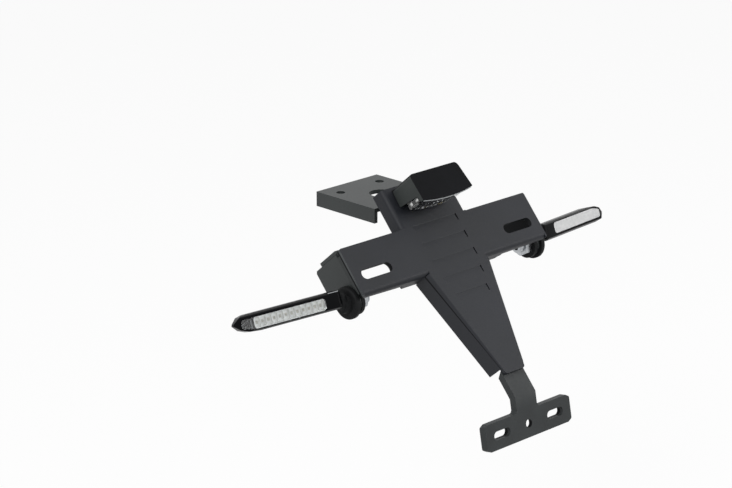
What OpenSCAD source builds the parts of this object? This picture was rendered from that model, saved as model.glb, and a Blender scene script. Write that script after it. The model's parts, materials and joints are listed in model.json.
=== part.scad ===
// Tail tidy: a folded licence-plate carrier with a lower tee, a plate lamp and two slim indicators.
// X runs across the vehicle, Y forwards, Z up. The origin is the middle of the four tail bolts,
// on the top face of the mounting bracket.

/* [Carrier plate] */
// Angle between the carrier's face and the vertical, in degrees
plate_tilt = 41; // [36:1:46]
// Thickness of the carrier's sheet
sheet_t = 3; // [2.5:0.1:3.4]
// Outer radius of the carrier's folds
fold_r = 3.6; // [3.5:0.1:4.5]
// Width of the crossbar
bar_w = 190; // [184:1:200]
// Height of the crossbar's face
bar_h = 37.6; // [35:0.1:42]
// Radius of the crossbar's corners
bar_corner_r = 1.5; // [1:0.5:4]
// Width of the column beside and above the crossbar
column_w = 65.4; // [62:0.2:70]
// Width of the column at its lower end
column_end_w = 21; // [20:0.5:24]
// Height of the column above the crossbar's centre line
column_up = 51; // [50:0.5:56]
// Reach of the column below the crossbar's centre line
column_down = 104.5; // [100:0.5:110]
// Radius of the corners at the column's lower end
column_end_r = 3; // [2:0.5:4]
// Depth of the flanges along the column, from the face
flange_depth = 14.5; // [12:0.5:16]
// Depth of the flanges above the crossbar, from the face
upper_flange_depth = 11; // [9:0.5:13]
// Height at the lower end where the column has no flange
flange_stop = 4.5; // [3:0.5:8]
// How far the flat lower end draws in beside the folds
end_draw = 0.9; // [0.5:0.1:1.5]
// Depth of the crossbar's lower lip beside the column
lip_deep = 13; // [10:0.5:14]
// Depth of the crossbar's lower lip where its taper starts
lip_mid = 7; // [6:0.5:8]
// Depth of the crossbar's lower lip at its outer end
lip_end = 4.5; // [4:0.5:5.5]
// Width of the lip's deep stretch, measured out from the column
lip_tab_w = 19; // [14:1:22]
// Distance from a licence-plate slot's outer end to the crossbar's end
slot_end_gap = 7.8; // [6:0.1:10]
// Length of a licence-plate slot, end to end
slot_len = 29; // [24:0.5:31]
// Width of a licence-plate slot
slot_w = 7.6; // [6.5:0.1:8.4]
// Distance of the slots below the crossbar's centre line
slot_drop = 4; // [2:0.5:5]

/* [Steps down the column] */
// Number of pressed steps
step_count = 5; // [3:1:5]
// Distance from one step to the next
step_pitch = 14.2; // [13:0.1:15]
// Height of one pressed step
step_h = 5.6; // [5:0.1:8]
// Depth to which a step is pressed in
step_depth = 0.9; // [0.5:0.1:1.4]
// Width of the sheared slit at each end of a step
step_slit_w = 0.9; // [0.6:0.1:1.4]
// Top of the first step above the crossbar's centre line
step_top = 19.2; // [17:0.2:20]
// Margin between a step's slit and the column's edge
step_margin = 10.4; // [10:0.2:12]

/* [Indicator bracket] */
// Thickness of the indicator bracket's sheet
bracket_t = 2.5; // [2:0.1:3]
// Outer radius of the indicator bracket's folds
bracket_r = 4.8; // [4:0.1:5.5]
// Distance of each side panel's outer face in from the crossbar's end
panel_inset = 1.5; // [1:0.1:2.5]
// Depth of the side panels behind the crossbar's back
panel_depth = 31; // [29:0.5:34]
// Depth of the bracket's upper wings behind the crossbar's back
wing_depth = 24; // [20:0.5:27]
// Height of the wings' upper face above the crossbar's centre line
wing_top = 20.6; // [19:0.2:21]
// Gap between a side panel's upper edge and the wing over it
wing_slit = 0.5; // [0.4:0.1:1]
// Reach of the side panels' rear edge below the crossbar's centre line
panel_rear_drop = 1; // [-2:0.5:4]
// Radius of the side panel's lobe round the indicator stem
lobe_r = 9.5; // [8.5:0.5:10.5]

/* [Mounting bracket] */
// Thickness of the mounting bracket's sheet
mount_t = 3; // [2.5:0.1:4]
// Inner radius of the mounting bracket's bend
mount_bend_r = 3; // [2:0.5:5]
// Width of the mounting bracket's leg
leg_w = 50; // [46:1:54]
// Height of the leg above the crossbar's centre line, up to its bend
leg_up = 32; // [28:0.5:33]
// Reach of the leg below the crossbar's centre line
leg_down = 14; // [13:0.5:16]
// Width of the mounting bracket's top plate
top_w = 62; // [58:1:70]
// Length of the top plate in front of the bend
top_len = 72; // [68:1:84]
// Length of the narrow neck between the bend and the top plate
top_neck = 12; // [8:1:16]
// Distance between the tail bolts across the vehicle
bolt_pitch_x = 40; // [36:1:44]
// Distance between the tail bolts along the vehicle
bolt_pitch_y = 44; // [40:1:48]
// Diameter of the tail bolt holes
bolt_hole_d = 6.6; // [6.4:0.1:7]
// Diameter of the wiring hole in the top plate
wire_hole_d = 18; // [12:1:20]
// Depth of the top plate's side flanges, from its top face
top_flange = 11; // [9:0.5:14]

/* [Lower bracket] */
// Bend between the carrier's face and the tee's face, in degrees
tee_bend = 30; // [25:1:35]
// Wall thickness of the lower bracket
tee_wall = 3; // [2.5:0.1:3.4]
// Outer depth of the lower bracket's rim
tee_depth = 5.6; // [5:0.1:6.5]
// Thickness of the rim round the lower bracket
tee_rim = 2.6; // [2.2:0.1:3]
// Width of the tee bar
tee_w = 88.6; // [84:0.2:94]
// Height of the tee bar
tee_h = 20; // [19:0.2:22]
// Radius that rounds off the tee bar's corners
tee_corner_r = 3.4; // [1.5:0.1:4]
// Length of the chamfers on the tee bar's corners, along the bar
tee_chamfer_x = 3.6; // [2:0.2:8]
// Height of the chamfers on the tee bar's corners
tee_chamfer_y = 2; // [1:0.1:4]
// Width of the tee's neck
neck_w = 21.2; // [20:0.2:23]
// Distance of the bend below the crossbar's centre line
bend_drop = 122.3; // [119:0.1:126]
// Distance from the bend to the tee bar's centre line, down the tee
tee_drop = 21.4; // [20:0.2:24]
// Radius of the fillets between neck and bar
tee_fillet_r = 2.5; // [1:0.5:4]
// Width of the tongue that runs up behind the column
tongue_w = 15; // [13:0.5:15.6]
// Set-back of the neck's upper end at its rear, below the column's end
neck_slope = 3.5; // [0:0.5:5]
// Distance of the lower neck stud above the neck's upper end
neck_stud_rise = 11; // [10:0.5:14]
// Length of the tongue above the neck
tongue_len = 38; // [34:0.5:44]
// Distance between the centres of the tee's slots
tee_slot_pitch = 55.6; // [52:0.2:58]
// Length of a tee slot, end to end
tee_slot_len = 16.5; // [14:0.5:18]
// Width of a tee slot
tee_slot_w = 6.2; // [6:0.1:7]
// Diameter of the reflector hole
reflector_hole_d = 6.1; // [5.5:0.1:6.6]

/* [Fasteners] */
// Diameter of the weld studs
stud_d = 5; // [4:0.5:5]
// Clearance of a hole round its stud, on the diameter
stud_gap = 0.6; // [0.4:0.1:1]
// Distance between the carrier studs across the vehicle
stud_pitch_x = 34; // [30:1:36]
// Height of the upper carrier studs above the crossbar's centre line
stud_high = 25.5; // [24:0.5:27]
// Distance of the lower carrier studs below the crossbar's centre line
stud_low = 6; // [3:0.5:7]
// Distance between the two neck studs
neck_stud_pitch = 16; // [14:0.5:18]
// Thickness of the washers
washer_t = 1; // [0.8:0.1:1.2]
// Diameter of the washers
washer_d = 10; // [9:0.2:10]
// Width across flats of the nuts
nut_af = 8; // [7:0.5:8]
// Height of the nuts
nut_h = 4.2; // [3:0.1:5]
// Length of stud that stands past its nut
stud_proud = 1.6; // [1:0.2:3]

/* [Plate lamp] */
// Width of the lamp housing at its hood
lamp_w = 50.6; // [48:0.2:53]
// Length of the lamp's top face
lamp_len = 21.4; // [20:0.2:24]
// Height of the hood's edge above the gasket
lamp_h = 24.6; // [22:0.2:26]
// Fall of the lamp's top face towards its back edge
lamp_fall = 2; // [1:0.2:3]
// Rake of the housing's front, from hood edge back to its foot
lamp_rake = 7; // [5:0.5:8]
// Bulge of the hood's edge at its middle
hood_bulge = 2.4; // [1:0.2:4]
// Distance of the housing's back above the crossbar's centre line
lamp_back = 49; // [48:0.5:50]
// Wall thickness of the lamp housing
lamp_wall = 1.8; // [1.4:0.1:2.2]
// Thickness of the gasket under the lamp
gasket_t = 1; // [0.8:0.1:1.5]
// Radius of the housing's rear corners, seen from above
lamp_corner_r = 3; // [1:0.5:5]
// Height of the lens's lower edge above the gasket
lens_low = 6.8; // [6:0.2:8]
// Height of the lens's upper edge above the gasket
lens_high = 19.6; // [18:0.2:20]
// Set-back of the lens from the hood's edge
lens_inset = 1.2; // [1:0.1:2]
// Distance between the two lamp screws
lamp_screw_pitch = 30; // [26:1:32]
// Number of light-emitting diodes in the lamp
lamp_led_count = 3; // [3:1:4]
// Distance between two light-emitting diodes in the lamp
led_pitch = 12; // [10:0.5:12]

/* [Indicators] */
// Sweep of the left indicator towards the front, in degrees
sweep_left = 13.5; // [0:0.5:24]
// Sweep of the right indicator towards the front, in degrees
sweep_right = 10; // [0:0.5:24]
// Droop of the left indicator towards its tip, in degrees
droop_left = 3.5; // [0:0.5:6]
// Droop of the right indicator towards its tip, in degrees
droop_right = 3; // [0:0.5:6]
// Roll of the indicators about their length, top towards the front, in degrees
roll = 20; // [0:1:30]
// Height of an indicator's middle above its stem's axis, at the root
body_rise = 5.2; // [3:0.2:6]
// Distance of an indicator's middle behind its stem's axis, at the root
body_shift = 0.8; // [0:0.2:2]
// Distance of the stem's axis below the crossbar's centre line
stem_drop = 15.1; // [14:0.1:16]
// Distance of the stem's axis behind the crossbar's face
stem_back = 17.4; // [16:0.1:19]
// Diameter of the threaded stem
stem_d = 8; // [7:0.5:8.5]
// Diameter of the rubber disc
disc_d = 23.4; // [21:0.2:24]
// Thickness of the rubber disc
disc_t = 4.4; // [3.5:0.1:5]
// Diameter of the rubber hub where it meets the disc
hub_d = 14; // [12:0.5:16]
// Diameter of the rubber hub at the indicator
hub_end_d = 12; // [11.5:0.1:13]
// Distance from the disc to the hub's elbow
hub_len = 4.5; // [4:0.5:8]
// Length of the hub past its elbow
hub_tail = 1.5; // [1:0.5:4]
// Diameter of the hub's bent neck at the indicator
hub_neck_d = 10; // [9:0.2:11]
// Diameter of the cable bore through the stem
cable_bore_d = 4; // [3:0.5:5]
// Length of thread that stands past the stem nut
stem_proud = 4; // [2:0.5:6]
// Width across flats of the stem nut
stem_nut_af = 13; // [12:0.5:14]
// Height of the stem nut
stem_nut_h = 6; // [5:0.2:7]
// Diameter of the rubber washer behind the side panel
stem_washer_d = 20; // [18:0.5:20]
// Thickness of the rubber washer behind the side panel
stem_washer_t = 3; // [2:0.1:4]
// Length of an indicator's body
body_len = 84.5; // [78:0.5:90]
// Height of an indicator's body
body_h = 13; // [12.6:0.1:14]
// Depth of an indicator's body
body_d = 11; // [10:0.1:12]
// Height of the body's front face between its bevels
front_h = 10.4; // [10:0.1:11]
// Length of the arrow-shaped tip
tip_len = 11; // [9:0.5:13]
// Distance from the body's root to the lens window
window_start = 13; // [12:0.5:15]
// Distance between the lens window and the tip's point
window_gap = 5.5; // [5:0.5:8]
// Length of the ribbed stretch under the lens, past the reflector
rib_len = 10; // [8:0.5:12]
// Number of ribs under the lens, past the reflector
rib_count = 4; // [3:1:5]
// Height of the lens window
window_h = 8.4; // [7.8:0.1:8.8]
// Distance of the lens window's middle below the body's middle
window_drop = 0.6; // [0:0.1:0.8]
// Number of reflector cells behind a lens
cell_count = 12; // [8:1:13]
// Wall between two reflector cells
cell_wall = 0.7; // [0.5:0.1:1]
// Thickness of the lens
lens_t = 1.6; // [1.2:0.1:2]
// Depth of the reflector strip
reflector_t = 3; // [2.5:0.1:3.4]
// Thickness of the circuit boards
board_t = 1; // [0.8:0.1:1.6]

/* [Hidden] */
$fn = 64;
SIDES = ["left", "right"];

// How much each face of the sheet draws in round the mounting bracket's bend
bend_thin = 0.02;
// Overlap that makes two pieces of one solid join, and overshoot of a cutting shape
join = 0.4;
over = 1;
// Clearance round a curved piece in its bore
slip = 0.2;

black_steel = "#3E3F44";
grey_steel = "#4C5254";
black_plastic = "#26282B";
black_rubber = "#2E3032";
clear_plastic = "#DDE3E6";
silver = "#C9CCCF";
zinc = "#B9BCC0";
board_green = "#2F4A3C";
led_yellow = "#E8DFA0";

// Carrier plate, in its own frame: x across, y up the face, z out of the face
bar_top = bar_h / 2;
bar_bottom = -bar_h / 2;
column_half = column_w / 2;
end_half = column_end_w / 2;
taper_run = column_down + bar_bottom;
taper_angle = atan((column_half - end_half) / taper_run);
taper_len = taper_run / cos(taper_angle);
flange_len = (taper_run - flange_stop) / cos(taper_angle);
upper_flange_low = bar_top + join;
lip_fillet_r = lip_deep - lip_mid;
inner_fold = fold_r - sheet_t;
slot_pitch = bar_w - slot_len - 2 * slot_end_gap;

// Stack of sheets behind the carrier: bracket web, then the mounting bracket's leg
web_z = -sheet_t;
leg_z = web_z - bracket_t;
stack_z = leg_z - mount_t;

// Indicator bracket
panel_x = bar_w / 2 - panel_inset;
panel_low = -stem_drop - lobe_r;
web_low = -(bar_h / 2 - sheet_t - 1);
wing_gap = column_half + 1;
panel_top = wing_top - bracket_t - wing_slit;
panel_fold_z = web_z - bracket_r;
tab_w = leg_w;
tab_up = leg_up;

// Mounting bracket's bend and the frame's origin, which lies in the middle of the tail bolts
bend_out = mount_bend_r + mount_t;
bend_y = leg_up;
bend_z = leg_z - bend_out;
bend_fore = bend_y * sin(plate_tilt) - bend_z * cos(plate_tilt);
bend_up = bend_y * cos(plate_tilt) + bend_z * sin(plate_tilt);
origin_fore = bend_fore + top_len / 2;
origin_up = bend_up + bend_out;

// Studs
stud_z0 = -sheet_t;
carrier_nut_z = stack_z - washer_t;
neck_nut_z = -sheet_t - tee_wall - washer_t;
neck_top = -(column_down - flange_stop) - 0.5;
neck_stud_low = neck_top + neck_stud_rise;
nut_r = nut_af / 2 / cos(30);

// Lamp
lamp_front = lamp_back - lamp_len;
lamp_screw_d = 4;
lamp_screw_y = lamp_back - 6;
lamp_screw_head_d = 7;
lamp_screw_head_h = 2.6;
lamp_screw_grip = 7;
lamp_back_w = lamp_w - 2.2;
hood_r = (lamp_w * lamp_w / 4 + hood_bulge * hood_bulge) / (2 * hood_bulge);

// Indicators
stem_r = stem_d / 2;
elbow_x = panel_x + disc_t + hub_len;
body_back = -body_d * 0.45;
body_front = body_d + body_back;
window_end = body_len - window_gap;
strip_end = window_end - rib_len;
cell_pitch = (strip_end - window_start - 2 * cell_wall) / cell_count;
rib_pitch = rib_len / (rib_count + 0.5);
body_wall = 1.4;

// Moves children from the carrier's frame to the part's frame
module on_plate() {
    translate([0, -origin_fore, -origin_up])
        rotate([90 - plate_tilt, 0, 0])
            children();
}

// Extrudes a (y, z) outline across the part, centred on x = 0
module across(width) {
    translate([-width / 2, 0, 0])
        rotate([90, 0, 90])
            linear_extrude(width)
                children();
}

// Extrudes an (x, z) outline towards +y
module upward(height) {
    translate([0, height, 0])
        rotate([90, 0, 0])
            linear_extrude(height)
                children();
}

module both_sides() {
    children();
    mirror([1, 0, 0])
        children();
}

module ring_sector(r_out, r_in, from, to) {
    intersection() {
        difference() {
            circle(r_out);
            if (r_in > 0) circle(r_in);
        }
        polygon(concat(
            [[0, 0]],
            [for (i = [0:4]) 2 * r_out * [cos(from + (to - from) * i / 4), sin(from + (to - from) * i / 4)]]
        ));
    }
}

module rounded_rect(size_x, size_y, r) {
    square([size_x - 2 * r, size_y], center = true);
    square([size_x, size_y - 2 * r], center = true);
    for (sx = [-1, 1])
        for (sy = [-1, 1])
            translate([sx * (size_x / 2 - r), sy * (size_y / 2 - r)])
                circle(r);
}

module slot(length, width) {
    square([length - width, width], center = true);
    for (s = [-1, 1])
        translate([s * (length - width) / 2, 0])
            circle(width / 2);
}

// Hexagon with its flats square to x
module hexagon(across_flats) {
    circle(across_flats / 2 / cos(30), $fn = 6);
}

// Section of a fold: outer wall face at y = 0, sheet face at z = 0, wall of the given depth
module fold_section(depth, t, r) {
    translate([0, -depth])
        square([t, depth - r + join / 4]);
    translate([r, -r])
        ring_sector(r, r - t, 90, 180);
    translate([r, -t])
        square([join, t]);
}

// A fold of the given length along +x, its sheet towards +y
module fold(length, depth, t = sheet_t, r = fold_r) {
    rotate([90, 0, 90])
        linear_extrude(length)
            fold_section(depth, t, r);
}

// Outline of the carrier's face
module carrier_outline() {
    rounded_rect(bar_w, bar_h, bar_corner_r);
    translate([-column_half, 0])
        square([column_w, column_up]);
    polygon([
        [-column_half, 0], [-column_half, bar_bottom],
        [-end_half, -column_down + column_end_r], [-end_half + column_end_r, -column_down],
        [end_half - column_end_r, -column_down], [end_half, -column_down + column_end_r],
        [column_half, bar_bottom], [column_half, 0]
    ]);
    for (s = [-1, 1])
        translate([s * (end_half - column_end_r), -column_down + column_end_r])
            circle(column_end_r);
}

// Places children with x down the right-hand tapered edge and y in towards the column
module at_taper() {
    translate([column_half, bar_bottom, 0])
        rotate([0, 0, -90 - taper_angle])
            mirror([0, 1, 0])
                children();
}

// The strips of flat sheet that the folds take the place of
module fold_clearance() {
    both_sides() {
        at_taper()
            translate([-over, -over, -sheet_t - over])
                cube([flange_len + over, fold_r + over, sheet_t + 2 * over]);
        at_taper()
            translate([flange_len - join, -over, -sheet_t - over])
                cube([flange_stop + fold_r, end_draw + over, sheet_t + 2 * over]);
        translate([column_half - fold_r, upper_flange_low, -sheet_t - over])
            cube([fold_r + over, column_up, sheet_t + 2 * over]);
        translate([column_half - fold_r, bar_bottom - over, -sheet_t - over])
            cube([bar_w / 2 - column_half + fold_r - bar_corner_r, fold_r + over, sheet_t + 2 * over]);
    }
}

// Depth profile of the crossbar's lip, in (x, z)
module lip_profile() {
    lip_out = bar_w / 2 - bar_corner_r;
    tab_out = column_half + lip_tab_w;
    difference() {
        polygon([
            [column_half - fold_r, 0], [lip_out, 0], [lip_out, -lip_end],
            [tab_out + lip_fillet_r, -lip_mid], [tab_out, -lip_mid],
            [tab_out, -lip_deep], [column_half - fold_r, -lip_deep]
        ]);
        translate([tab_out, -lip_deep])
            circle(lip_fillet_r / 2);
    }
}

module folds() {
    both_sides() {
        at_taper()
            fold(flange_len, flange_depth);
        translate([column_half, column_up, 0])
            rotate([0, 0, -90])
                mirror([0, 1, 0])
                    fold(column_up - upper_flange_low, upper_flange_depth);
        intersection() {
            translate([column_half - fold_r, bar_bottom, 0])
                fold(bar_w / 2, lip_deep);
            translate([0, bar_bottom - over, 0])
                upward(fold_r + 2 * over)
                    lip_profile();
        }
    }
}

function step_y(i) = step_top - i * step_pitch - step_h / 2;
function column_half_at(y) = y > bar_bottom
    ? column_half
    : column_half - (bar_bottom - y) * tan(taper_angle);
function step_half(i) = column_half_at(step_y(i) - step_h / 2) - step_margin;

// Side view of a pressed step in (y, z): a steep upper wall, then a ramp back to the face
module step_profile(half_h, base) {
    polygon([[-half_h, 0], [half_h - 0.6 * step_depth, -step_depth], [half_h, 0], [half_h, base], [-half_h, base]]);
}

// Pressed steps: the sheet is set back by step_depth, and sheared at both ends
module step_cuts() {
    for (i = [0:step_count - 1])
        translate([0, step_y(i), 0]) {
            across(2 * step_half(i) - step_slit_w)
                step_profile(step_h / 2, over);
            for (s = [-1, 1])
                translate([s * (step_half(i) - step_slit_w / 2), 0, -sheet_t / 2])
                    cube([step_slit_w, step_h, sheet_t + 2 * over], center = true);
        }
}

// The set-back sheet stands out behind the carrier below the crossbar's bracket
module step_backs() {
    for (i = [0:step_count - 1])
        if (step_y(i) + step_h / 2 < web_low - 1)
            translate([0, step_y(i), -sheet_t])
                across(2 * (step_half(i) - step_slit_w))
                    step_profile(step_h / 2, join);
}

module carrier_stud_places() {
    for (sx = [-1, 1])
        for (y = [stud_high, -stud_low])
            translate([sx * stud_pitch_x / 2, y, 0])
                children();
}

module neck_stud_places() {
    for (i = [0, 1])
        translate([0, neck_stud_low + i * neck_stud_pitch, 0])
            children();
}

module lamp_screw_places() {
    for (s = [-1, 1])
        translate([s * lamp_screw_pitch / 2, lamp_screw_y, 0])
            children();
}

module carrier_plate() {
    color(black_steel)
        on_plate()
            difference() {
                union() {
                    difference() {
                        translate([0, 0, -sheet_t])
                            linear_extrude(sheet_t)
                                carrier_outline();
                        fold_clearance();
                    }
                    folds();
                    step_backs();
                }
                step_cuts();
                for (s = [-1, 1])
                    translate([s * slot_pitch / 2, -slot_drop, -sheet_t - over])
                        linear_extrude(sheet_t + 2 * over)
                            slot(slot_len, slot_w);
                lamp_screw_places()
                    translate([0, 0, -sheet_t - over])
                        cylinder(d = lamp_screw_d + stud_gap, h = sheet_t + 2 * over);
            }
}

// Side panel outline in (y, z): a straight rear edge and a lobe round the stem
module panel_outline() {
    rear = -sheet_t - panel_depth;
    polygon([
        [panel_top, panel_fold_z + join], [panel_top, rear + 1.5], [panel_top - 1.5, rear],
        [-panel_rear_drop, rear], [-stem_drop - lobe_r * 0.6, -stem_back - lobe_r * 0.8],
        [-stem_drop, -stem_back], [web_low, panel_fold_z + join]
    ]);
    translate([-stem_drop, -stem_back])
        circle(lobe_r);
}

// Web, tab, folded side panels and folded wings of the channel behind the crossbar
module channel() {
    fold_top = wing_top - bracket_r;
    translate([-panel_x + bracket_r, web_low, leg_z])
        cube([2 * (panel_x - bracket_r), fold_top - web_low, bracket_t]);
    translate([-tab_w / 2, 0, leg_z])
        cube([tab_w, tab_up, bracket_t]);
    both_sides() {
        translate([panel_x, web_low, web_z])
            rotate([0, 0, 90])
                fold(fold_top - wing_slit - web_low, bracket_r + 1, bracket_t, bracket_r);
        translate([panel_x - bracket_t / 2, 0, 0])
            across(bracket_t)
                panel_outline();
        translate([wing_gap, wing_top, web_z])
            mirror([0, 1, 0])
                fold(panel_x - bracket_r - wing_slit - wing_gap, bracket_r + 1, bracket_t, bracket_r);
        translate([wing_gap, wing_top - bracket_t, web_z - wing_depth])
            cube([panel_x - 1 - wing_gap, bracket_t, wing_depth - bracket_r]);
    }
}

module indicator_bracket() {
    color(grey_steel)
        on_plate()
            difference() {
                channel();
                carrier_stud_places()
                    translate([0, 0, leg_z - over])
                        cylinder(d = stud_d + stud_gap, h = bracket_t + 2 * over);
                for (s = [-1, 1])
                    translate([s * slot_pitch / 2, -slot_drop, leg_z - over])
                        linear_extrude(bracket_t + 2 * over)
                            slot(slot_len + 3, slot_w + 3);
                translate([0, -stem_drop, -stem_back])
                    rotate([0, 90, 0])
                        cylinder(r = stem_r + slip, h = bar_w, center = true);
            }
}

// Side view of the mounting bracket, in (y, z) of the carrier's frame
module mount_profile() {
    translate([-leg_down, stack_z])
        square([leg_up + leg_down, mount_t]);
    translate([bend_y, bend_z]) {
        ring_sector(bend_out - bend_thin, mount_bend_r + bend_thin, plate_tilt - 4, 94);
        rotate(plate_tilt - 90)
            translate([0, mount_bend_r])
                square([top_len, mount_t]);
    }
}

module mounting_bracket() {
    color(black_steel)
        difference() {
            union() {
                on_plate()
                    across(leg_w)
                        mount_profile();
                translate([-top_w / 2, -top_len / 2 + top_neck, -mount_t])
                    cube([top_w, top_len - top_neck, mount_t]);
                for (s = [-1, 1])
                    translate([s * (top_w - mount_t) / 2, top_neck / 2, -top_flange / 2])
                        cube([mount_t, top_len - top_neck, top_flange], center = true);
            }
            for (sx = [-1, 1])
                for (sy = [-1, 1])
                    translate([sx * bolt_pitch_x / 2, sy * bolt_pitch_y / 2, -mount_t - over])
                        cylinder(d = bolt_hole_d, h = mount_t + 2 * over);
            translate([0, 0, -mount_t - over])
                cylinder(d = wire_hole_d, h = mount_t + 2 * over);
            on_plate()
                carrier_stud_places()
                    translate([0, 0, stack_z - over])
                        cylinder(d = stud_d + stud_gap, h = mount_t + 2 * over);
        }
}

// Moves children from the tee's frame to the carrier's frame: the tee bar's centre is the origin
module on_tee() {
    translate([0, -bend_drop, -sheet_t])
        rotate([tee_bend, 0, 0])
            translate([0, -tee_drop, 0])
                children();
}

// Tee bar with chamfered corners, set in by a margin
module bar_outline(inset) {
    half_w = tee_w / 2 - inset;
    half_h = tee_h / 2 - inset;
    intersection() {
        rounded_rect(2 * half_w, 2 * half_h, tee_corner_r);
        polygon([
            for (i = [0:3])
                let (sx = i < 2 ? 1 : -1, sy = i == 0 || i == 3 ? 1 : -1)
                    each (sx * sy > 0
                        ? [[sx * (half_w - tee_chamfer_x), sy * half_h], [sx * half_w, sy * (half_h - tee_chamfer_y)]]
                        : [[sx * half_w, sy * (half_h - tee_chamfer_y)], [sx * (half_w - tee_chamfer_x), sy * half_h]])
        ]);
    }
}

// Tee outline with its neck, in (x, y) of the tee's frame
module tee_outline(inset) {
    half_neck = neck_w / 2 - inset;
    bar_outline(inset);
    translate([-half_neck, 0])
        square([2 * half_neck, tee_drop + bend_drop]);
    if (inset == 0)
        for (s = [-1, 1])
            difference() {
                translate([s * (half_neck + tee_fillet_r / 2 - join / 2), tee_h / 2 + tee_fillet_r / 2 - join / 2])
                    square([tee_fillet_r + join, tee_fillet_r + join], center = true);
                translate([s * (half_neck + tee_fillet_r), tee_h / 2 + tee_fillet_r])
                    circle(tee_fillet_r);
            }
}

// A point of the tee's side view in (y, z) of the carrier's frame
function tee_point(along, depth) = [
    -bend_drop + along * cos(tee_bend) + depth * sin(tee_bend),
    -sheet_t + along * sin(tee_bend) - depth * cos(tee_bend)
];

// Side view of the bent neck and the tee, between two depths below their front
module neck_profile(front, back, top) {
    low = -tee_drop - tee_h / 2 - over;
    polygon([
        [top - neck_slope * front / tee_depth, -sheet_t - front],
        [-bend_drop + front * tan(tee_bend / 2), -sheet_t - front],
        tee_point(low, front),
        tee_point(low, back),
        [-bend_drop + back * tan(tee_bend / 2), -sheet_t - back],
        [top - neck_slope * back / tee_depth, -sheet_t - back]
    ]);
}

// Neck and tee between two depths, with the outline set in by a margin
module neck_body(front, back, top, inset) {
    intersection() {
        across(tee_w + 2 * over)
            neck_profile(front, back, top);
        on_tee()
            translate([0, 0, -4 * tee_depth])
                linear_extrude(bend_drop)
                    tee_outline(inset);
    }
}

module lower_bracket() {
    color(grey_steel)
        on_plate()
            difference() {
                union() {
                    neck_body(0, tee_depth, neck_top, 0);
                    translate([0, neck_top - 2, -sheet_t - tee_wall])
                        linear_extrude(tee_wall)
                            translate([0, tongue_len / 2 + 1])
                                rounded_rect(tongue_w, tongue_len + 2, 3);
                }
                neck_body(tee_wall, tee_depth + over, neck_top - tee_rim, tee_rim);
                on_tee()
                    translate([0, 0, -tee_depth - over])
                        linear_extrude(tee_depth + 2 * over) {
                            for (s = [-1, 1])
                                translate([s * tee_slot_pitch / 2, 0])
                                    slot(tee_slot_len, tee_slot_w);
                            circle(d = reflector_hole_d);
                        }
                neck_stud_places()
                    translate([0, 0, -sheet_t - tee_wall - over])
                        cylinder(d = stud_d + stud_gap, h = tee_wall + 2 * over);
            }
}

module stud(from_z, to_z) {
    translate([0, 0, to_z + 0.5])
        cylinder(d = stud_d, h = from_z - to_z - 0.5);
    translate([0, 0, to_z])
        cylinder(d1 = stud_d - 1, d2 = stud_d, h = 0.5);
}

module washer(top_z) {
    translate([0, 0, top_z - washer_t])
        difference() {
            cylinder(d = washer_d, h = washer_t);
            translate([0, 0, -over])
                cylinder(d = stud_d + stud_gap, h = washer_t + 2 * over);
        }
}

// Hexagon nut with its corners turned down by a cone on the outer end
module nut(top_z) {
    translate([0, 0, top_z - nut_h])
        difference() {
            intersection() {
                linear_extrude(nut_h)
                    hexagon(nut_af);
                cylinder(r1 = nut_r - 0.6, r2 = nut_r + nut_h, h = nut_h + nut_r, center = false);
            }
            translate([0, 0, -over])
                cylinder(d = stud_d + slip, h = nut_h + 2 * over);
        }
}

module carrier_studs() {
    color(zinc)
        on_plate()
            carrier_stud_places()
                stud(stud_z0, carrier_nut_z - nut_h - stud_proud);
}

module carrier_washers() {
    color(zinc)
        on_plate()
            carrier_stud_places()
                washer(stack_z);
}

module carrier_nuts() {
    color(zinc)
        on_plate()
            carrier_stud_places()
                nut(carrier_nut_z);
}

module neck_studs() {
    color(zinc)
        on_plate()
            neck_stud_places()
                stud(stud_z0, neck_nut_z - nut_h - stud_proud);
}

module neck_washers() {
    color(zinc)
        on_plate()
            neck_stud_places()
                washer(-sheet_t - tee_wall);
}

module neck_nuts() {
    color(zinc)
        on_plate()
            neck_stud_places()
                nut(neck_nut_z);
}

// The lamp's front at a height above the gasket
function rake_y(h) = lamp_front + lamp_rake * (1 - 0.3 * h / lens_high);

// Lamp side view in (y, z), with the housing's foot on the gasket
module lamp_side(wall) {
    polygon([
        [lamp_back - wall, gasket_t], [lamp_back - wall, gasket_t + lamp_h - lamp_fall - wall],
        [lamp_front - hood_bulge, gasket_t + lamp_h - wall],
        [lamp_front - hood_bulge, gasket_t + lamp_h - 2.2],
        [rake_y(lens_high) + wall, gasket_t + lens_high],
        [rake_y(0) + wall, gasket_t]
    ]);
}

// Lamp block in plan: a hood with a curved edge, narrower and rounded at the back
module lamp_block(inset) {
    half_back = lamp_back_w / 2 - inset;
    half_front = lamp_w / 2 - inset;
    tip = lamp_front - hood_bulge - over;
    half_tip = half_front + (half_front - half_back) * (lamp_front - tip) / lamp_len;
    intersection() {
        linear_extrude(lamp_h + gasket_t)
            difference() {
                polygon([[-half_back, lamp_back], [half_back, lamp_back], [half_tip, tip], [-half_tip, tip]]);
                for (s = [-1, 1])
                    difference() {
                        translate([s * half_back, lamp_back])
                            square(2 * lamp_corner_r, center = true);
                        translate([s * (half_back - lamp_corner_r), lamp_back - lamp_corner_r])
                            circle(lamp_corner_r);
                    }
            }
        translate([0, lamp_front - hood_bulge + hood_r + inset, 0])
            cylinder(r = hood_r, h = lamp_h + gasket_t, $fn = 180);
    }
}

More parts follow.
